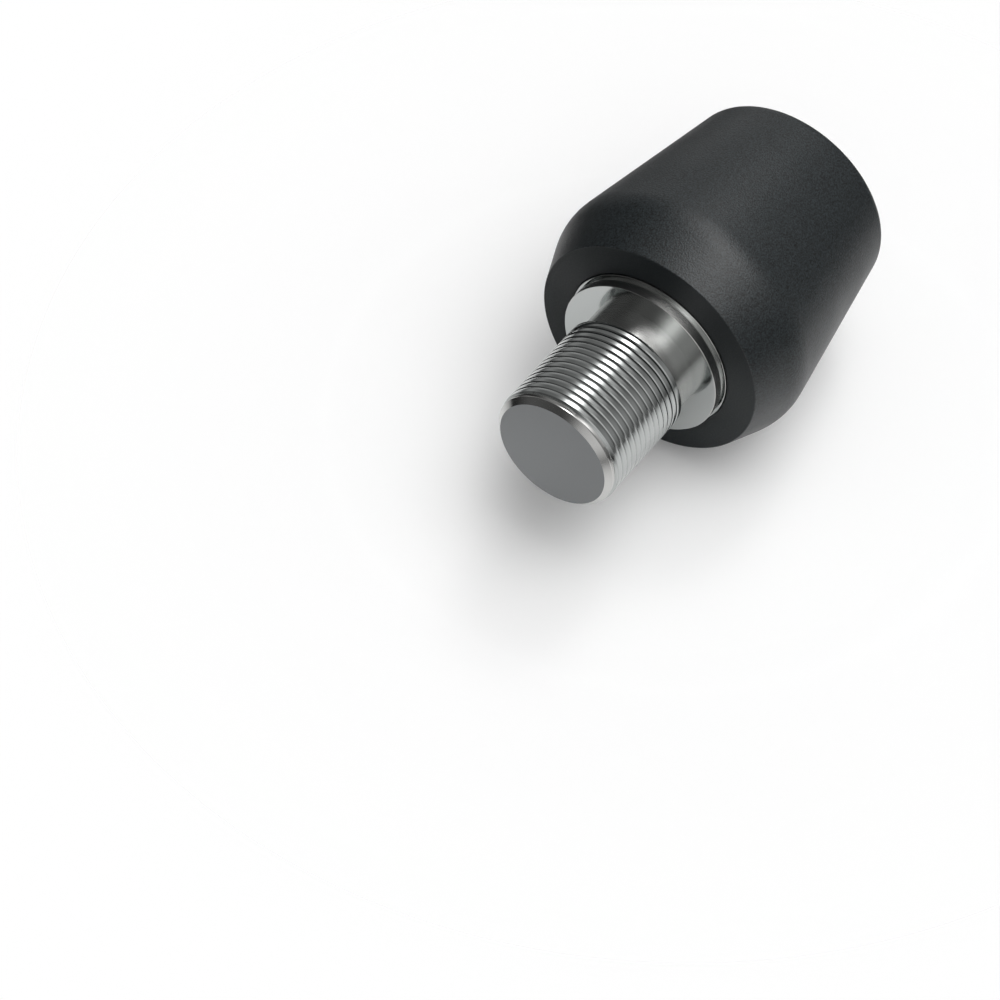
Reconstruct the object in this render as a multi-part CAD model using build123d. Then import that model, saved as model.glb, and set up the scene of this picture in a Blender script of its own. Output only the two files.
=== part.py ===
from build123d import *
from math import cos, pi, tan
import os

# A bar end weight for a motorbike handlebar. A turned steel core screws into the end of the bar, and a moulded
# nylon sleeve covers it and takes the knocks.
#
# Frame: the axis of the turned parts is Z. The flat outer face, which looks away from the handlebar, lies in the
# plane z = 0, and the threaded spigot points up. All sizes are in millimetres.

# Overall lengths along the axis
sleeve_length = 33.0          # outer face to ring face
overall_length = 54.0         # outer face to spigot tip

# Sleeve, outside
outer_face_radius = 14.0      # where the cone would meet the outer face, before the rim is rounded
rim_rounding = 2.0
shoulder_height = 26.4        # where cone and shoulder would meet, before they are rounded into each other
shoulder_radius = 18.2
shoulder_rounding = 7.0
ring_face_radius = 15.6
ring_edge_rounding = 0.15

# Tool recess in the outer face
recess_radius = 7.8
recess_depth = 5.0
recess_lip_rounding = 0.7

# Core, inside the sleeve
step_radius = 11.38           # the full cylinder that fills the bore, seen as a thin bright ring
step_proud = 0.15             # the step ring stands out of the ring face by this much
step_edge = 0.04
core_fit = 0.03               # radial clearance of the core in the bore
bore_edge = 0.18              # bevel at the mouth of the bore, which shows as a dark line

# Core, outside the sleeve
flange_radius = 11.1
flange_height = 35.0          # z of the face that seats on the handlebar's end
flange_edge = 0.06
groove_radius = 10.85         # relief at the foot of the flange
groove_width = 0.6
neck_radius = 7.8
neck_root_rounding = 0.1
thread_radius = 8.5           # major radius of the M17 x 1 thread
thread_start = 38.3           # z where the thread begins, next to the neck
thread_run_out = 0.27
tip_radius = 7.6
tip_bevel = 0.9

# Threaded centre hole in the end face of the core, M10 x 0.75
hole_major_radius = 5.0
hole_pitch = 0.75
hole_depth = 14.0
hole_bevel = 0.34
drill_point_angle = 118.0

# Blind pin holes for a face spanner
pin_hole_count = 8
pin_hole_circle_radius = 6.45
pin_hole_radius = 0.5
pin_hole_depth = 1.6
pin_hole_bevel = 0.28

# Sizes that follow from the ones above
core_bottom = recess_depth
bore_radius = step_radius + core_fit
step_height = sleeve_length + step_proud
# The minor radius of an internal metric thread lies 5/8 of the thread triangle's height below the major one.
hole_radius = hole_major_radius - 5 / 8 * hole_pitch * cos(pi / 6)


def turned(outline):
    """The solid swept by a half section, a list of (radius, height) corners, about the Z axis."""
    return revolve(Plane.XZ * make_face(Polyline(*outline, close=True)), Axis.Z)


def rings_at(solid, radius, height):
    """The round edges of a solid that lie at this radius and height."""
    near = 1e-3
    edges = solid.edges().filter_by(GeomType.CIRCLE)
    return [
        edge
        for edge in edges
        if abs(edge.radius - radius) < near and abs(edge.arc_center.Z - height) < near
    ]


def sleeve():
    """The moulded nylon sleeve: a rounded bobbin with a bore for the core and a tool recess."""
    outside = turned(
        [
            (0, 0),
            (outer_face_radius, 0),
            (shoulder_radius, shoulder_height),
            (ring_face_radius, sleeve_length),
            (0, sleeve_length),
        ]
    )
    outside = fillet(rings_at(outside, shoulder_radius, shoulder_height), shoulder_rounding)
    outside = fillet(rings_at(outside, outer_face_radius, 0), rim_rounding)
    outside = fillet(rings_at(outside, ring_face_radius, sleeve_length), ring_edge_rounding)
    bore = turned(
        [
            (0, recess_depth),
            (bore_radius, recess_depth),
            (bore_radius, sleeve_length - bore_edge),
            (bore_radius + bore_edge, sleeve_length),
            (0, sleeve_length),
        ]
    )
    recess = Pos(0, 0, recess_depth / 2) * Cylinder(recess_radius, recess_depth)
    body = outside - bore - recess
    return fillet(rings_at(body, recess_radius, 0), recess_lip_rounding)


def core():
    """The turned steel core: the weight in the bore, the flange, the neck and the spigot."""
    groove_top = step_height + groove_width
    bar = turned(
        [
            (0, core_bottom),
            (step_radius, core_bottom),
            (step_radius, step_height - step_edge),
            (step_radius - step_edge, step_height),
            (groove_radius, step_height),
            (groove_radius, groove_top),
            (flange_radius, groove_top),
            (flange_radius, flange_height - flange_edge),
            (flange_radius - flange_edge, flange_height),
            (neck_radius, flange_height),
            (neck_radius, thread_start),
            (thread_radius, thread_start + thread_run_out),
            (thread_radius, overall_length - tip_bevel),
            (tip_radius, overall_length),
            (0, overall_length),
        ]
    )
    bar = fillet(rings_at(bar, neck_radius, flange_height), neck_root_rounding)
    return bar - centre_hole() - pin_holes()


def centre_hole():
    """The blind hole in the end face, at the minor radius of its thread, with a bevelled mouth."""
    point = hole_radius / tan(drill_point_angle / 2 * pi / 180)
    return turned(
        [
            (0, core_bottom),
            (hole_radius + hole_bevel, core_bottom),
            (hole_radius, core_bottom + hole_bevel),
            (hole_radius, core_bottom + hole_depth),
            (0, core_bottom + hole_depth + point),
        ]
    )


def pin_holes():
    """The ring of small blind holes, each with a bevelled mouth and a drilled, conical bottom."""
    point = pin_hole_radius / tan(drill_point_angle / 2 * pi / 180)
    hole = turned(
        [
            (0, 0),
            (pin_hole_radius + pin_hole_bevel, 0),
            (pin_hole_radius, pin_hole_bevel),
            (pin_hole_radius, pin_hole_depth),
            (0, pin_hole_depth + point),
        ]
    )
    places = PolarLocations(pin_hole_circle_radius, pin_hole_count)
    return [Pos(0, 0, core_bottom) * place * hole for place in places]


os.makedirs("parts", exist_ok=True)
export_step(sleeve(), "parts/sleeve.step")
export_step(core(), "parts/core.step")
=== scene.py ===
import math

import bmesh
import bpy
from mathutils import Matrix, Vector


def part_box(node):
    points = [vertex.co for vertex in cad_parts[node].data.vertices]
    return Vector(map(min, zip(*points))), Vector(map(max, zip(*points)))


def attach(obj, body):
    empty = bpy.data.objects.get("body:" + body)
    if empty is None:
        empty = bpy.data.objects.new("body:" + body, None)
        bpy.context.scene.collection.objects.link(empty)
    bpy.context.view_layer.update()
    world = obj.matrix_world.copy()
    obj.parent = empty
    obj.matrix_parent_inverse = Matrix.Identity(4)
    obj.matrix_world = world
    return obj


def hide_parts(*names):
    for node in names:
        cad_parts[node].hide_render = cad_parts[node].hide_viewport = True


bl_info = {
    "name": "Bar end weight",
    "version": (1, 0, 0),
    "blender": (4, 5, 0),
    "location": "3D View > Sidebar > Bar end",
    "description": "Builds a motorbike's bar end weight, a turned steel core in a black nylon sleeve, on its stage",
    "category": "Add Mesh",
}

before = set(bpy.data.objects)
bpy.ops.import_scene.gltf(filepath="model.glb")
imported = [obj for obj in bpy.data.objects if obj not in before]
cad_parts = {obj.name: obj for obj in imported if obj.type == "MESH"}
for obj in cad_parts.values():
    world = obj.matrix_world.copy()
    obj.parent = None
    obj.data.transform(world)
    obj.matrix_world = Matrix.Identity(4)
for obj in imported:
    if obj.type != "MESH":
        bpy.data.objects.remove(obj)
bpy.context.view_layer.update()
sleeve_low, sleeve_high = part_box("sleeve")
core_low, core_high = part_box("core")

MM = 0.001
SEGMENTS = 192                  # faces round every turned surface
PIN_SEGMENTS = 32               # faces round a pin hole
ARC_STEP = math.radians(7.5)    # angle from one ring of a rounding to the next
WELD = 1e-6                     # vertices nearer than this are one
SHARP = math.radians(24)        # edges with a larger angle than this stay crisp
FLAT = 0.999                    # a face is flat if the Z of its normal is larger than this
DRILL_POINT = math.radians(59)  # half the angle of a drill's conical point
NOISE_RANGE = (0.3, 0.7)        # nearly all values of a noise texture lie between these
SENSOR_WIDTH = 36.0             # of the camera, in millimetres
WHITE = (1.0, 1.0, 1.0, 1.0)

# The finishes of the two pieces, in the order of their materials
SKIN, RING = range(2)
TURNED, FACED_PAINTED_SHADE, GROUND_PAINTED_SHADE, COARSE = range(4)

# The part lies on its side. The floor touches the sleeve where it is widest, and this is the way up from it.
UP = Vector((1, -1, 0)).normalized()
AXIS = Vector((0, 0, 1))
# The part as the camera sees it, in the lens's own axes of right, down and forward: the centre of the outer face,
# and the way that the part's axis points.
FACE_SEEN = Vector((37.14, -39.282, 488.487)) * MM
AXIS_SEEN = Vector((-0.572112, 0.626159, -0.529729)).normalized()

# The soft lights of the room, each with its height over the floor, its turn from the way the camera looks towards
# the camera's right, and its width to half strength, all in degrees, and then its strength.
LIGHTS = (
    (55, 28, 14, 7.5),    # the main lamp, beyond the part
    (46, 12, 16, 0.4),    # a faint light beside it
    (74, 92, 30, 4.3),    # a wide lamp overhead, to the right
    (58, 120, 30, 2.2),   # and more of it towards the camera
    (50, 166, 24, 2.5),   # a lamp beside the camera
    (1, 4, 24, 0.8),      # low, beyond the part
    (8, 45, 34, 0.3),     # low, beyond it to the right
    (8, 90, 34, 0.3),     # low, on the right
    (6, 172, 40, 0.75),   # low, on the camera's side
    (10, 225, 34, 0.12),  # low, on the camera's side to the left
    (2, 262, 36, 0.16),   # low, on the left
    (2, 335, 24, 0.3),    # low, beyond the part to the left
    (28, 0, 34, 0.3),     # the room at middle height, beyond the part
    (28, 90, 34, 0.15),   # at middle height, on the right
    (30, 185, 34, 0.38),  # at middle height, on the camera's side
    (60, 280, 40, 0.35),  # high on the left
)


def length(name, description, default):
    """A length in metres that the user can set, given here in millimetres."""
    return bpy.props.FloatProperty(
        name=name,
        description=description,
        default=default * MM,
        min=0.0,
        precision=5,
        unit="LENGTH",
        subtype="DISTANCE",
    )


def srgb(code):
    """Linear red, green, blue and alpha of an sRGB hex colour."""
    values = [int(code[i : i + 2], 16) / 255 for i in (1, 3, 5)]
    linear = [value / 12.92 if value <= 0.04045 else ((value + 0.055) / 1.055) ** 2.4 for value in values]
    return (*linear, 1.0)


def colour(name, description, code):
    """A colour that the user can set."""
    return bpy.props.FloatVectorProperty(
        name=name, description=description, default=srgb(code), size=4, min=0.0, max=1.0, subtype="COLOR"
    )


class SleeveSizes(bpy.types.PropertyGroup):
    """Sizes and colour of the moulded sleeve."""

    height: length("Length", "From the outer face to the ring face", sleeve_high.z / MM)
    face_radius: length("Outer face radius", "Where the cone would meet the outer face", 14.0)
    rim_rounding: length("Rim rounding", "Radius of the rim of the outer face", 2.0)
    shoulder_height: length("Shoulder height", "Where the cone would meet the shoulder", 26.4)
    shoulder_radius: length("Shoulder radius", "Where the cone would meet the shoulder", 18.2)
    shoulder_rounding: length("Shoulder rounding", "Radius that joins cone and shoulder", 7.0)
    ring_radius: length("Ring face radius", "Outer radius of the flat ring round the core", 15.6)
    ring_edge: length("Ring edge", "Radius of the ring face's outer edge", 0.15)
    bore_radius: length("Bore radius", "Radius of the bore that holds the core", 11.41)
    bore_edge: length("Bore edge", "Bevel at the mouth of the bore", 0.18)
    recess_radius: length("Recess radius", "Radius of the tool recess", 7.8)
    recess_depth: length("Recess depth", "Depth of the tool recess", core_low.z / MM)
    lip_rounding: length("Recess lip", "Radius of the recess's lip", 0.7)
    nylon: colour("Nylon", "Colour of the moulded nylon", "#1e2325")


class CoreSizes(bpy.types.PropertyGroup):
    """Sizes and colour of the turned core."""

    top: length("Overall length", "From the outer face to the spigot's tip", core_high.z / MM)
    bottom: length("End face height", "Height of the end face in the recess", core_low.z / MM)
    body_radius: length("Body radius", "Radius of the core in the sleeve", 11.38)
    step_height: length("Step height", "Height of the thin step ring", 33.15)
    step_edge: length("Step edge", "Bevel of the step's edge", 0.04)
    flange_edge: length("Flange edge", "Bevel of the flange's edge", 0.06)
    groove_radius: length("Groove radius", "Radius of the relief under the flange", 10.85)
    groove_width: length("Groove width", "Width of the relief under the flange", 0.6)
    flange_radius: length("Flange radius", "Radius of the flange", 11.1)
    flange_height: length("Flange height", "Height of the flange's face", 35.0)
    neck_radius: length("Neck radius", "Radius of the plain neck", 7.8)
    thread_start: length("Thread start", "Height where the thread begins, at the neck", 38.3)
    run_out: length("Run-out", "Length of the cone from the neck to the thread's crests", 0.27)
    thread_radius: length("Thread radius", "Radius of the thread's crests", 8.5)
    thread_pitch: length("Thread pitch", "Height of one turn", 1.0)
    thread_depth: length("Thread depth", "Depth of the thread's groove", 0.11)
    groove_place: bpy.props.FloatProperty(
        name="Groove place",
        description="Where in the pitch the groove is deepest",
        default=0.4,
        min=0.35,
        max=0.6,
    )
    thread_end: length("Thread end", "Height where the thread runs out into the relief at the tip", 52.72)
    relief_radius: length("Relief radius", "Radius of the relief at the tip, where the thread ends", 8.2)
    relief_root: length("Relief root", "Radius of the relief next to the land", 8.0)
    land_height: length("Land height", "Height of the narrow land between relief and bevel", 53.16)
    tip_radius: length("Tip radius", "Radius of the spigot's end face", 7.6)
    tip_bevel: length("Tip bevel", "Length of the bevel at the tip", 0.7)
    hole_radius: length("Hole radius", "Radius of the crests in the centre hole", 4.594)
    hole_mouth: length("Hole mouth", "Radius of the centre hole's bevelled mouth", 4.934)
    hole_pitch: length("Hole pitch", "Pitch of the thread in the centre hole", 0.75)
    hole_thread_depth: length("Hole thread", "Depth of the thread in the centre hole", 10.0)
    hole_depth: length("Hole depth", "Depth of the centre hole's wall", 14.0)
    pin_count: bpy.props.IntProperty(
        name="Pin holes", description="How many pin holes the end face has", default=8, min=3, max=24
    )
    pin_circle: length("Pin circle", "Radius of the circle of pin holes", 6.45)
    pin_radius: length("Pin hole radius", "Radius of a pin hole", 0.5)
    pin_bevel: length("Pin hole bevel", "Bevel at the mouth of a pin hole", 0.28)
    pin_depth: length("Pin hole depth", "Depth of a pin hole's wall", 1.6)
    steel: colour("Steel", "Colour of the turned steel", "#c5c5c3")
    # Painted shade: the flat faces' colour is a little darker than the steel itself, standing in for the shaded floor
    # mirrored in the flange's face.
    faced_steel_painted_shade: colour("Faced steel", "Colour of the flange's and the step's flat faces", "#b5b8b7")
    # Painted shade: the end faces' colour is much darker than the steel itself, standing in for dark surroundings
    # mirrored in the tip face; the end face in the recess takes the same colour.
    end_face: colour("End faces", "Colour of the ground end faces", "#7d7f80")


class StageSizes(bpy.types.PropertyGroup):
    """The floor and the camera."""

    floor_size: length("Floor size", "Side of the square floor", 3000.0)
    fade_start: length("Fade start", "How far from the part's middle the floor starts to fade", 30.0)
    fade_end: length("Fade end", "How far from the part's middle the floor is gone", 110.0)
    floor: colour("Floor", "Colour of the floor", "#f7f7f7")
    floor_lift: bpy.props.FloatProperty(
        name="Floor lift",
        description="White added to the floor where the camera or the metal looks at it",
        default=0.1,
        min=0.0,
        max=1.0,
    )
    focal_length: bpy.props.FloatProperty(
        name="Focal length",
        description="Of the lens, in millimetres on a 36 mm sensor",
        default=137.7,
        min=10.0,
        max=500.0,
    )


def rounded_section(corners):
    """Points of a half section. Each corner is (radius, height, rounding), and a rounding becomes an arc."""
    points = []
    for i, (radius, height, rounding) in enumerate(corners):
        here = Vector((radius, height))
        if rounding == 0:
            points.append(here)
            continue
        before = (Vector(corners[i - 1][:2]) - here).normalized()
        after = (Vector(corners[(i + 1) % len(corners)][:2]) - here).normalized()
        half = before.angle(after) / 2
        centre = here + (before + after).normalized() * (rounding / math.sin(half))
        start = here + before * (rounding / math.tan(half)) - centre
        end = here + after * (rounding / math.tan(half)) - centre
        turn = start.angle_signed(end)
        steps = max(3, math.ceil(abs(turn) / ARC_STEP))
        for k in range(steps + 1):
            # Vector.angle_signed counts clockwise, so the arc turns by the negative of it.
            points.append(centre + Matrix.Rotation(-turn * k / steps, 2) @ start)
    return points


def turn_section(bm, points, closed=False, segments=SEGMENTS):
    """Turns a half section of (radius, height) points about the Z axis. A point on the axis becomes one vertex."""
    rings = []
    for radius, height in points:
        if radius < WELD:
            rings.append([bm.verts.new((0, 0, height))])
            continue
        ring = []
        for k in range(segments):
            angle = math.tau * k / segments
            ring.append(bm.verts.new((radius * math.cos(angle), radius * math.sin(angle), height)))
        rings.append(ring)
    pairs = list(zip(rings, rings[1:]))
    if closed:
        pairs.append((rings[-1], rings[0]))
    for low, high in pairs:
        for k in range(segments):
            following = (k + 1) % segments
            if len(low) == 1:
                bm.faces.new((low[0], high[following], high[k]))
            elif len(high) == 1:
                bm.faces.new((low[k], low[following], high[0]))
            else:
                bm.faces.new((low[k], low[following], high[following], high[k]))


def finish_mesh(bm, name):
    """Welds the mesh, turns its faces outwards, keeps its edges crisp and makes it an object."""
    bmesh.ops.remove_doubles(bm, verts=bm.verts, dist=WELD)
    bmesh.ops.dissolve_degenerate(bm, edges=bm.edges, dist=WELD)
    bmesh.ops.recalc_face_normals(bm, faces=bm.faces)
    open_edges = sum(1 for edge in bm.edges if len(edge.link_faces) != 2)
    if open_edges:
        raise RuntimeError(f"{name} has {open_edges} open edges")
    mesh = bpy.data.meshes.new(name)
    bm.to_mesh(mesh)
    bm.free()
    mesh.shade_smooth()
    mesh.set_sharp_from_angle(angle=SHARP)
    piece = bpy.data.objects.new(name, mesh)
    bpy.context.scene.collection.objects.link(piece)
    return piece


def add(tree, kind, links=(), **settings):
    """Adds a node. settings set its properties, and links gives its inputs, each a value or another node's socket."""
    node = tree.nodes.new(kind)
    for key, value in settings.items():
        setattr(node, key, value)
    for key, value in dict(links).items():
        if isinstance(value, bpy.types.NodeSocket):
            tree.links.new(value, node.inputs[key])
        else:
            node.inputs[key].default_value = value
    return node


def new_geometry_tree(name, sockets):
    """A geometry tree with named inputs, its group input node and a dict of the inputs' identifiers."""
    tree = bpy.data.node_groups.new(name, "GeometryNodeTree")
    tree.interface.new_socket("Geometry", in_out="OUTPUT", socket_type="NodeSocketGeometry")
    identifiers = {}
    for label, kind in sockets.items():
        socket = tree.interface.new_socket(label, in_out="INPUT", socket_type="NodeSocket" + kind)
        identifiers[label] = socket.identifier
    return tree, tree.nodes.new("NodeGroupInput"), identifiers


def end_geometry_tree(tree, geometry, material):
    """Ends a tree in Realize Instances and Set Material."""
    real = add(tree, "GeometryNodeRealizeInstances", {"Geometry": geometry})
    painted = add(tree, "GeometryNodeSetMaterial", {"Geometry": real.outputs[0], "Material": material})
    out = tree.nodes.new("NodeGroupOutput")
    tree.links.new(painted.outputs[0], out.inputs[0])


def math_node(tree, operation, *values):
    """The result of one sum, product or other step of arithmetic."""
    return add(tree, "ShaderNodeMath", dict(enumerate(values)), operation=operation).outputs[0]


def screw_thread_tree(material):
    """Repeats the section of one turn of a thread up a helix, between two end cones.

    The incoming mesh is the section of one turn: X is the radius and Z the height from the turn's foot. Row after row
    of a grid takes its radius from it, and the rows climb by one pitch on their way round, so crests and grooves run
    along the faces' edges. Side is 1 on a bolt and -1 in a hole, and turns the first end cone round.
    """
    sockets = {"Section": "Geometry", "Pitch": "Float", "Turns": "Int", "Rows": "Int", "Around": "Int", "Side": "Float"}
    for cone in ("Start", "End"):
        sockets |= {cone: "Float", f"{cone} radius": "Float", f"{cone} slope": "Float"}
    tree, given, identifiers = new_geometry_tree("Screw thread", sockets)
    size = {socket.name: socket for socket in given.outputs}
    rows = math_node(tree, "MULTIPLY", size["Turns"], size["Rows"])
    grid = add(
        tree,
        "GeometryNodeMeshGrid",
        {
            "Size X": 1.0,
            "Size Y": 1.0,
            "Vertices X": math_node(tree, "ADD", size["Around"], 1.0),
            "Vertices Y": math_node(tree, "ADD", rows, 1.0),
        },
    )
    # The grid runs from -0.5 to 0.5 both ways: once round the axis in X, and from the first row to the last in Y.
    place = add(tree, "ShaderNodeSeparateXYZ", {0: tree.nodes.new("GeometryNodeInputPosition").outputs[0]})
    around = math_node(tree, "ADD", place.outputs["X"], 0.5)
    row = math_node(tree, "ROUND", math_node(tree, "MULTIPLY", math_node(tree, "ADD", place.outputs["Y"], 0.5), rows))
    turn = math_node(tree, "FLOOR", math_node(tree, "DIVIDE", math_node(tree, "ADD", row, 0.5), size["Rows"]))
    step = math_node(tree, "SUBTRACT", row, math_node(tree, "MULTIPLY", turn, size["Rows"]))
    section = add(
        tree,
        "GeometryNodeSampleIndex",
        {
            "Geometry": size["Section"],
            "Value": tree.nodes.new("GeometryNodeInputPosition").outputs[0],
            "Index": step,
        },
        data_type="FLOAT_VECTOR",
    )
    point = add(tree, "ShaderNodeSeparateXYZ", {0: section.outputs[0]})
    climb = math_node(tree, "MULTIPLY_ADD", math_node(tree, "ADD", turn, around), size["Pitch"], point.outputs["Z"])
    raw = math_node(tree, "ADD", math_node(tree, "SUBTRACT", size["Start"], size["Pitch"]), climb)
    height = math_node(tree, "MINIMUM", math_node(tree, "MAXIMUM", raw, size["Start"]), size["End"])
    from_start = math_node(tree, "MULTIPLY", math_node(tree, "SUBTRACT", height, size["Start"]), size["Start slope"])
    first_cone = math_node(tree, "MULTIPLY_ADD", from_start, size["Side"], size["Start radius"])
    sided = [math_node(tree, "MULTIPLY", radius, size["Side"]) for radius in (point.outputs["X"], first_cone)]
    cut = math_node(tree, "MULTIPLY", math_node(tree, "MINIMUM", *sided), size["Side"])
    from_end = math_node(tree, "MULTIPLY", math_node(tree, "SUBTRACT", size["End"], height), size["End slope"])
    radius = math_node(tree, "MINIMUM", cut, math_node(tree, "ADD", size["End radius"], from_end))
    angle = math_node(tree, "MULTIPLY", around, math.tau)
    put = add(
        tree,
        "ShaderNodeCombineXYZ",
        {
            "X": math_node(tree, "MULTIPLY", radius, math_node(tree, "COSINE", angle)),
            "Y": math_node(tree, "MULTIPLY", radius, math_node(tree, "SINE", angle)),
            "Z": height,
        },
    )
    wound = add(tree, "GeometryNodeSetPosition", {"Geometry": grid.outputs["Mesh"], "Position": put.outputs[0]})
    welded = add(tree, "GeometryNodeMergeByDistance", {"Geometry": wound.outputs[0], "Distance": WELD})
    end_geometry_tree(tree, welded.outputs[0], material)
    return tree, identifiers


def ring_of_holes_tree(material):
    """Repeats the incoming mesh, one blind hole, evenly round the Z axis."""
    tree, given, identifiers = new_geometry_tree(
        "Ring of holes", {"Hole": "Geometry", "Count": "Int", "Radius": "Float"}
    )
    size = {socket.name: socket for socket in given.outputs}
    circle = add(tree, "GeometryNodeMeshCircle", {"Vertices": size["Count"], "Radius": size["Radius"]})
    placed = add(tree, "GeometryNodeInstanceOnPoints", {"Points": circle.outputs[0], "Instance": size["Hole"]})
    end_geometry_tree(tree, placed.outputs[0], material)
    return tree, identifiers


def run_geometry_tree(mesh, tree, identifiers, values):
    """Puts a mesh through a geometry tree and returns the plain mesh that comes out."""
    carrier = bpy.data.objects.new("carrier", mesh)
    bpy.context.scene.collection.objects.link(carrier)
    modifier = carrier.modifiers.new(tree.name, "NODES")
    modifier.node_group = tree
    for label, value in values.items():
        modifier[identifiers[label]] = value
    graph = bpy.context.evaluated_depsgraph_get()
    made = bpy.data.meshes.new_from_object(carrier.evaluated_get(graph))
    carrier.modifiers.remove(modifier)
    bpy.data.objects.remove(carrier)
    if not made.polygons:
        raise RuntimeError(f"the tree {tree.name} made no faces")
    return made


def section_mesh(points):
    """A mesh of loose points, a section that a geometry tree reads by index."""
    mesh = bpy.data.meshes.new("section")
    mesh.from_pydata([(x, 0.0, z) for x, z in points], [], [])
    return mesh


def thread_turn(crest, root, pitch, place):
    """The section of one turn: a wide crest, a flank that falls to the root, and a lip rolled over beyond it.

    The place of the root and all lengths here are shares of the pitch.
    """
    flank = 0.13
    crest_row = 0.34   # an extra row this far before the root keeps the crest's shading flat
    lip_foot = 0.03    # the lip first rises steeply over this length
    lip_rise = 0.42    # by this share of the groove's depth
    lip = 0.3          # and then gently, up to the crest this far from the root
    shares = [
        (crest, 0.0),
        (crest, place - crest_row),
        (crest, place - flank),
        (root, place),
        (root + (crest - root) * lip_rise, place + lip_foot),
        (crest, place + lip),
        (crest, (place + lip + 1) / 2),
    ]
    return [(radius, height * pitch) for radius, height in shares]


def drilled_end(radius, depth):
    """The end of a drilled hole's half section: its wall's foot and the tip of the drill's cone."""
    return [(radius, depth), (0, depth + radius / math.tan(DRILL_POINT))]


def new_material(name):
    """A material with its tree, its shader and its output."""
    material = bpy.data.materials.new(name)
    material.use_nodes = True
    tree = material.node_tree
    return material, tree, tree.nodes["Principled BSDF"], tree.nodes["Material Output"]


def vector_node(tree, operation, links, result="Vector"):
    """The result of one step of arithmetic with vectors, which is a Vector or a Value."""
    return add(tree, "ShaderNodeVectorMath", links, operation=operation).outputs[result]


def noise(tree, where, size, detail):
    """The value of a noise texture with cells of this size."""
    return add(tree, "ShaderNodeTexNoise", {"Vector": where, "Scale": 1 / size, "Detail": detail}).outputs["Fac"]


def spread(tree, value, low, high):
    """The value of a noise texture, stretched to run from low to high."""
    ends = {"From Min": NOISE_RANGE[0], "From Max": NOISE_RANGE[1], "To Min": low, "To Max": high}
    return add(tree, "ShaderNodeMapRange", {"Value": value, **ends}).outputs[0]


def moulded_nylon(base):
    """Black nylon from a spark-eroded mould. The fine grain gives a soft satin with tiny light and dark specks."""
    # Real spark grain is 0.05 to 0.1 mm. It is drawn at 0.2 mm, as coarse as it has to be to show.
    grain_size, grain_height, cloud_size = 0.2 * MM, 0.06 * MM, 6 * MM
    material, tree, shader, _ = new_material("moulded_nylon")
    shader.inputs["IOR"].default_value = 1.53
    where = tree.nodes.new("ShaderNodeTexCoord").outputs["Object"]
    grain = noise(tree, where, grain_size, 1.0)
    # The specks run from black to about twice the nylon's own colour.
    speckled = vector_node(tree, "SCALE", {0: base[:3], "Scale": spread(tree, grain, 0.0, 2.1)})
    tree.links.new(speckled, shader.inputs["Base Color"])
    cloud = noise(tree, where, cloud_size, 3.0)
    tree.links.new(spread(tree, cloud, 0.4, 0.46), shader.inputs["Roughness"])
    bump = add(tree, "ShaderNodeBump", {"Strength": 0.7, "Distance": grain_height, "Height": grain})
    tree.links.new(bump.outputs[0], shader.inputs["Normal"])
    return material


def turned(name, base, roughness, metallic=1.0, anisotropy=0.0, grain_size=0.15 * MM, grain_share=0.1):
    """A surface off a lathe. Its feed marks run round the axis, and anisotropy draws reflections out across them.

    The roughness varies with a fine grain, by up to grain_share of itself.
    """
    material, tree, shader, _ = new_material(name)
    shader.inputs["Base Color"].default_value = base
    shader.inputs["Metallic"].default_value = metallic
    shader.inputs["Anisotropic"].default_value = anisotropy
    where = tree.nodes.new("ShaderNodeTexCoord").outputs["Object"]
    grain = noise(tree, where, grain_size, 2.0)
    rough = spread(tree, grain, roughness * (1 - grain_share), roughness * (1 + grain_share))
    tree.links.new(rough, shader.inputs["Roughness"])
    # The marks' direction at a point is the axis crossed with the point, and a reflection is drawn out across it.
    marks = vector_node(tree, "CROSS_PRODUCT", {0: AXIS, 1: where})
    normal = tree.nodes.new("ShaderNodeNewGeometry").outputs["Normal"]
    across = vector_node(tree, "CROSS_PRODUCT", {0: marks, 1: normal})
    tree.links.new(across, shader.inputs["Tangent"])
    return material


class BAREND_OT_sleeve(bpy.types.Operator):
    """Build the moulded nylon sleeve"""

    bl_idname = "bar_end.sleeve"
    bl_label = "Moulded sleeve"

    def execute(self, context):
        s = context.scene.bar_end_sleeve
        corners = [
            (s.recess_radius, s.recess_depth, 0),
            (s.recess_radius, 0, s.lip_rounding),
            (s.face_radius, 0, s.rim_rounding),
            (s.shoulder_radius, s.shoulder_height, s.shoulder_rounding),
            (s.ring_radius, s.height, s.ring_edge),
            (s.bore_radius + s.bore_edge, s.height, 0),
            (s.bore_radius, s.height - s.bore_edge, 0),
            (s.bore_radius, s.recess_depth, 0),
        ]
        bm = bmesh.new()
        turn_section(bm, rounded_section(corners), closed=True)
        piece = finish_mesh(bm, "nylon_sleeve")
        finishes = {
            SKIN: moulded_nylon(s.nylon),
            RING: turned(
                "faced_nylon", s.nylon, 0.6, metallic=0.0, anisotropy=1.0, grain_size=0.2 * MM, grain_share=0.25
            ),
        }
        for finish in finishes.values():
            piece.data.materials.append(finish)
        for face in piece.data.polygons:
            if face.normal.z > FLAT and face.center.z > s.height - WELD:
                face.material_index = RING
        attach(piece, "root")
        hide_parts("sleeve")
        return {"FINISHED"}


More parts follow.
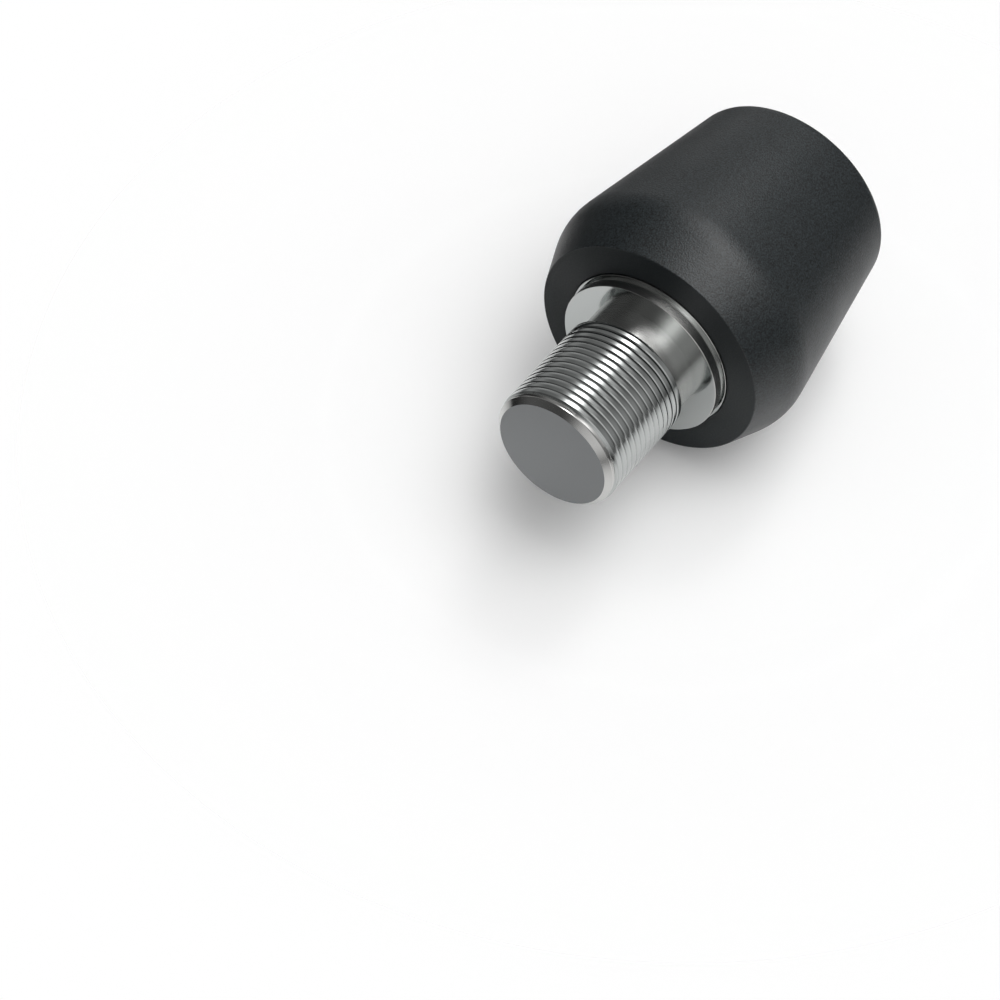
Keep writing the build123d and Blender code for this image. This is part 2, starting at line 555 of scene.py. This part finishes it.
class BAREND_OT_core(bpy.types.Operator):
    """Build the turned steel core with its threads and pin holes"""

    bl_idname = "bar_end.core"
    bl_label = "Turned core"

    def execute(self, context):
        s = context.scene.bar_end_core
        finishes = {
            TURNED: turned("turned_steel", s.steel, 0.16, anisotropy=0.8, grain_share=0.2),
            # its colour carries painted shade, a little darker than the steel for the shaded floor that the flange face
            # mirrors
            FACED_PAINTED_SHADE: turned("faced_steel_painted_shade", s.faced_steel_painted_shade, 0.11),
            # its dark colour is painted shade, standing in for dark surroundings mirrored in the end faces
            GROUND_PAINTED_SHADE: turned("ground_steel_painted_shade", s.end_face, 0.32, grain_size=0.3 * MM),
            COARSE: turned("coarse_turned_steel", s.steel, 0.21, anisotropy=0.9, grain_share=0.15),
        }
        bm = bmesh.new()
        self.turn_shell(bm, s)
        thread, identifiers = screw_thread_tree(finishes[TURNED])
        for turn, values in (self.outer_thread(s), self.inner_thread(s)):
            bm.from_mesh(run_geometry_tree(section_mesh(turn), thread, identifiers, values))
        holes, identifiers = ring_of_holes_tree(finishes[TURNED])
        values = {"Count": s.pin_count, "Radius": s.pin_circle}
        bm.from_mesh(run_geometry_tree(self.pin_hole(s), holes, identifiers, values))
        bmesh.ops.remove_doubles(bm, verts=bm.verts, dist=WELD)
        self.close_end_face(bm, s)
        piece = finish_mesh(bm, "steel_core")
        for finish in finishes.values():
            piece.data.materials.append(finish)
        for face in piece.data.polygons:
            at_end = face.center.z > s.top - WELD or face.center.z < s.bottom + WELD
            # The flat faces take the two darker steel colours, which carry painted shade: a mirrored shaded floor on
            # the faced ones, dark mirrored surroundings on the end faces.
            if abs(face.normal.z) > FLAT:
                face.material_index = GROUND_PAINTED_SHADE if at_end else FACED_PAINTED_SHADE
            elif s.step_height < face.center.z < s.thread_start:
                face.material_index = COARSE
        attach(piece, "root")
        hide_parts("core")
        return {"FINISHED"}

    def turn_shell(self, bm, s):
        """The plain turned surfaces: end face to thread, thread to tip, and the centre hole beyond its thread."""
        groove_top = s.step_height + s.groove_width
        turn_section(
            bm,
            [
                (s.body_radius, s.bottom),
                (s.body_radius, s.step_height - s.step_edge),
                (s.body_radius - s.step_edge, s.step_height),
                (s.groove_radius, s.step_height),
                (s.groove_radius, groove_top),
                (s.flange_radius, groove_top),
                (s.flange_radius, s.flange_height - s.flange_edge),
                (s.flange_radius - s.flange_edge, s.flange_height),
                (s.neck_radius, s.flange_height),
                (s.neck_radius, s.thread_start),
            ],
        )
        land_radius = s.tip_radius + s.tip_bevel
        land_slope = 3   # of the short cone that rises from the relief to the land
        turn_section(
            bm,
            [
                (s.relief_radius, s.thread_end),
                (s.relief_root, s.land_height - (land_radius - s.relief_root) / land_slope),
                (land_radius, s.land_height),
                (land_radius, s.top - s.tip_bevel),
                (s.tip_radius, s.top),
                (0, s.top),
            ],
        )
        thread_end = s.bottom + s.hole_thread_depth
        turn_section(bm, [(s.hole_radius, thread_end), *drilled_end(s.hole_radius, s.bottom + s.hole_depth)])

    def outer_thread(self, s):
        """The spigot's thread: the section of one turn and the values of the tree's inputs."""
        end_slope = 2.6   # of the thread's last flank, which falls to the relief
        turn = thread_turn(s.thread_radius, s.thread_radius - s.thread_depth, s.thread_pitch, s.groove_place)
        values = {
            "Pitch": s.thread_pitch,
            "Turns": math.ceil((s.thread_end - s.thread_start) / s.thread_pitch) + 1,
            "Rows": len(turn),
            "Around": SEGMENTS,
            "Side": 1.0,
            "Start": s.thread_start,
            "Start radius": s.neck_radius,
            "Start slope": (s.thread_radius - s.neck_radius) / s.run_out,
            "End": s.thread_end,
            "End radius": s.relief_radius,
            "End slope": end_slope,
        }
        return turn, values

    def inner_thread(self, s):
        """The thread in the centre hole, in the same form."""
        groove_place = 0.42
        root = s.hole_mouth - 0.02 * MM   # the groove stays just inside the mouth, so that the mouth stays round
        turn = thread_turn(s.hole_radius, root, s.hole_pitch, groove_place)
        values = {
            "Pitch": s.hole_pitch,
            "Turns": math.ceil(s.hole_thread_depth / s.hole_pitch) + 1,
            "Rows": len(turn),
            "Around": SEGMENTS,
            "Side": -1.0,
            "Start": s.bottom,
            "Start radius": s.hole_mouth,
            "Start slope": 1.0,
            "End": s.bottom + s.hole_thread_depth,
            "End radius": s.hole_radius,
            "End slope": 1.0,
        }
        return turn, values

    def pin_hole(self, s):
        """One blind pin hole with its bevelled mouth and drilled bottom."""
        wall = [
            (s.pin_radius + s.pin_bevel, s.bottom),
            (s.pin_radius, s.bottom + s.pin_bevel),
            *drilled_end(s.pin_radius, s.bottom + s.pin_depth),
        ]
        bm = bmesh.new()
        turn_section(bm, wall, segments=PIN_SEGMENTS)
        mesh = bpy.data.meshes.new("pin_hole")
        bm.to_mesh(mesh)
        bm.free()
        return mesh

    def close_end_face(self, bm, s):
        """Fills the flat end face between its rim, the mouth of the centre hole and the mouths of the pin holes."""
        rims = []
        for edge in bm.edges:
            flat = all(abs(vertex.co.z - s.bottom) < WELD for vertex in edge.verts)
            if flat and len(edge.link_faces) == 1:
                rims.append(edge)
        bmesh.ops.triangle_fill(bm, use_beauty=True, use_dissolve=False, edges=rims, normal=(0, 0, -1))


class BAREND_OT_stage(bpy.types.Operator):
    """Build the floor, the lights and the camera"""

    bl_idname = "bar_end.stage"
    bl_label = "Stage"

    def execute(self, context):
        s = context.scene.bar_end_stage
        camera = self.add_camera(s)
        self.add_floor(s)
        right = (camera.matrix_world.to_3x3() @ Vector((1, 0, 0))).normalized()
        self.add_light(right, UP.cross(right))
        context.scene.view_settings.view_transform = "Standard"
        return {"FINISHED"}

    def add_camera(self, s):
        """Places the camera so that it sees the part as in the photograph, with its own side level with the floor."""
        up_seen = Vector((0, AXIS_SEEN.z, -AXIS_SEEN.y)).normalized()
        seen = Matrix((up_seen, AXIS_SEEN.cross(up_seen), AXIS_SEEN)).transposed()
        part = Matrix((UP, AXIS.cross(UP), AXIS)).transposed()
        turn = part @ seen.transposed()
        data = bpy.data.cameras.new("camera")
        data.lens = s.focal_length
        data.sensor_width = SENSOR_WIDTH
        data.clip_start = 10 * MM
        camera = bpy.data.objects.new("camera", data)
        bpy.context.scene.collection.objects.link(camera)
        lens_axes = Matrix(((1, 0, 0), (0, -1, 0), (0, 0, -1)))
        camera.matrix_world = Matrix.Translation(-(turn @ FACE_SEEN)) @ (turn @ lens_axes).to_4x4()
        bpy.context.scene.camera = camera
        return camera

    def add_floor(self, s):
        """White paper under the part. It is lit round the part and fades out into the room beyond."""
        widest = sleeve_high.x
        middle = -UP * widest + AXIS * ((core_high.z + sleeve_low.z) / 2)
        across = AXIS.cross(UP) * (s.floor_size / 2)
        along = AXIS * (s.floor_size / 2)
        corners = [middle + across * a + along * b for a, b in ((-1, -1), (-1, 1), (1, 1), (1, -1))]
        mesh = bpy.data.meshes.new("floor")
        mesh.from_pydata(corners, [], [(0, 1, 2, 3)])
        if mesh.polygons[0].normal.dot(UP) < 0:
            mesh.flip_normals()
        floor = bpy.data.objects.new("floor", mesh)
        bpy.context.scene.collection.objects.link(floor)
        material, tree, shader, output = new_material("matt_paper")
        shader.inputs["Base Color"].default_value = s.floor
        shader.inputs["Roughness"].default_value = 0.9
        shader.inputs["Specular IOR Level"].default_value = 0.0
        # The paper is a little over-exposed where the camera or the metal looks at it, so only the shadow shows.
        path = tree.nodes.new("ShaderNodeLightPath").outputs
        looked_at = math_node(tree, "MAXIMUM", path["Is Camera Ray"], path["Is Glossy Ray"])
        looked_at = math_node(tree, "MAXIMUM", looked_at, path["Is Transmission Ray"])
        shader.inputs["Emission Color"].default_value = WHITE
        tree.links.new(math_node(tree, "MULTIPLY", looked_at, s.floor_lift), shader.inputs["Emission Strength"])
        # It is clear far from the part, and also from below, so that it never hides the part.
        where = tree.nodes.new("ShaderNodeTexCoord").outputs["Object"]
        away = vector_node(tree, "DISTANCE", {0: where, 1: middle}, "Value")
        fade_range = {"Value": away, "From Min": s.fade_start, "From Max": s.fade_end}
        fade = add(tree, "ShaderNodeMapRange", fade_range, interpolation_type="SMOOTHSTEP").outputs[0]
        back = tree.nodes.new("ShaderNodeNewGeometry").outputs["Backfacing"]
        clear = math_node(tree, "MAXIMUM", back, fade)
        see_through = tree.nodes.new("ShaderNodeBsdfTransparent")
        mix = add(tree, "ShaderNodeMixShader", {0: clear, 1: shader.outputs[0], 2: see_through.outputs[0]})
        tree.links.new(mix.outputs[0], output.inputs["Surface"])
        mesh.materials.append(material)

    def add_light(self, right, away):
        """The soft lights of the room, all far away. The camera itself sees white in place of the room."""
        world = bpy.data.worlds.new("room")
        bpy.context.scene.world = world
        world.use_nodes = True
        tree = world.node_tree
        look = tree.nodes.new("ShaderNodeTexCoord").outputs["Generated"]
        total = 0.0
        for *angles, strength in LIGHTS:
            height, turn, width = map(math.radians, angles)
            level = away * math.cos(turn) + right * math.sin(turn)
            towards = UP * math.sin(height) + level * math.cos(height)
            near = vector_node(tree, "DOT_PRODUCT", {0: look, 1: towards}, "Value")
            sharpness = math.log(2) / (1 - math.cos(width / 2))
            glow = math_node(tree, "EXPONENT", math_node(tree, "MULTIPLY_ADD", near, sharpness, -sharpness))
            total = math_node(tree, "MULTIPLY_ADD", glow, strength, total)
        room = add(tree, "ShaderNodeBackground", {"Color": WHITE, "Strength": total})
        white = add(tree, "ShaderNodeBackground", {"Color": WHITE, "Strength": 1.0})
        seen = tree.nodes.new("ShaderNodeLightPath").outputs["Is Camera Ray"]
        mix = add(tree, "ShaderNodeMixShader", {0: seen, 1: room.outputs[0], 2: white.outputs[0]})
        tree.links.new(mix.outputs[0], tree.nodes["World Output"].inputs["Surface"])


class BAREND_PT_panel(bpy.types.Panel):
    """Lists the pieces of the bar end weight"""

    bl_idname = "BAREND_PT_panel"
    bl_label = "Bar end weight"
    bl_space_type = "VIEW_3D"
    bl_region_type = "UI"
    bl_category = "Bar end"

    def draw(self, context):
        scene = context.scene
        for operator, group in (
            (BAREND_OT_sleeve, scene.bar_end_sleeve),
            (BAREND_OT_core, scene.bar_end_core),
            (BAREND_OT_stage, scene.bar_end_stage),
        ):
            box = self.layout.box()
            box.operator(operator.bl_idname)
            for key in group.bl_rna.properties.keys():
                if key not in ("rna_type", "name"):
                    box.prop(group, key)


GROUPS = {"bar_end_sleeve": SleeveSizes, "bar_end_core": CoreSizes, "bar_end_stage": StageSizes}
CLASSES = (*GROUPS.values(), BAREND_OT_sleeve, BAREND_OT_core, BAREND_OT_stage, BAREND_PT_panel)


def register():
    """Adds the classes and their settings to Blender."""
    for made in CLASSES:
        bpy.utils.register_class(made)
    for key, group in GROUPS.items():
        setattr(bpy.types.Scene, key, bpy.props.PointerProperty(type=group))


def unregister():
    """Takes the classes and their settings away again."""
    for key in GROUPS:
        delattr(bpy.types.Scene, key)
    for made in reversed(CLASSES):
        bpy.utils.unregister_class(made)


def main():
    """Builds the part and its stage."""
    register()
    bpy.ops.bar_end.sleeve()
    bpy.ops.bar_end.core()
    bpy.ops.bar_end.stage()


if __name__ == "__main__":
    main()
